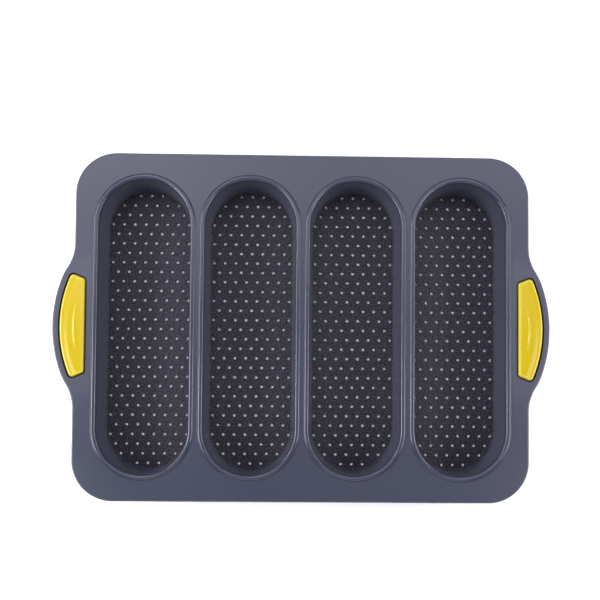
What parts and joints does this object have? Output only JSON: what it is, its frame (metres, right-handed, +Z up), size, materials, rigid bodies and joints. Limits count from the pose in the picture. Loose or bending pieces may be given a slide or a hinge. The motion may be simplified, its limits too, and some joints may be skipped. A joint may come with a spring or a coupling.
{
  "type": "baguette tray",
  "caption": "Shallow flexible baking tray with long round-ended perforated troughs side by side, a stiffened flange and a grip set into a tab at each short side.",
  "frame": {"origin": "middle of the tray's bounding box in plan, on the plane that the trough floors stand on", "axes": "+X across the troughs towards one grip, +Y along the troughs, +Z up out of the trough mouths"},
  "size_m": [0.4, 0.2794, 0.0305],
  "materials": {
    "silicone": "satin slate grey food silicone",
    "frame_steel": "drawn stainless wire",
    "grip_nylon": "gloss yellow nylon"
  },
  "bodies": {
    "root": {"silicone_tray": "silicone", "rim_frame": "frame_steel", "grip_left_upper": "grip_nylon", "grip_left_lower": "grip_nylon", "grip_right_upper": "grip_nylon", "grip_right_lower": "grip_nylon"}
  },
  "joints": []
}
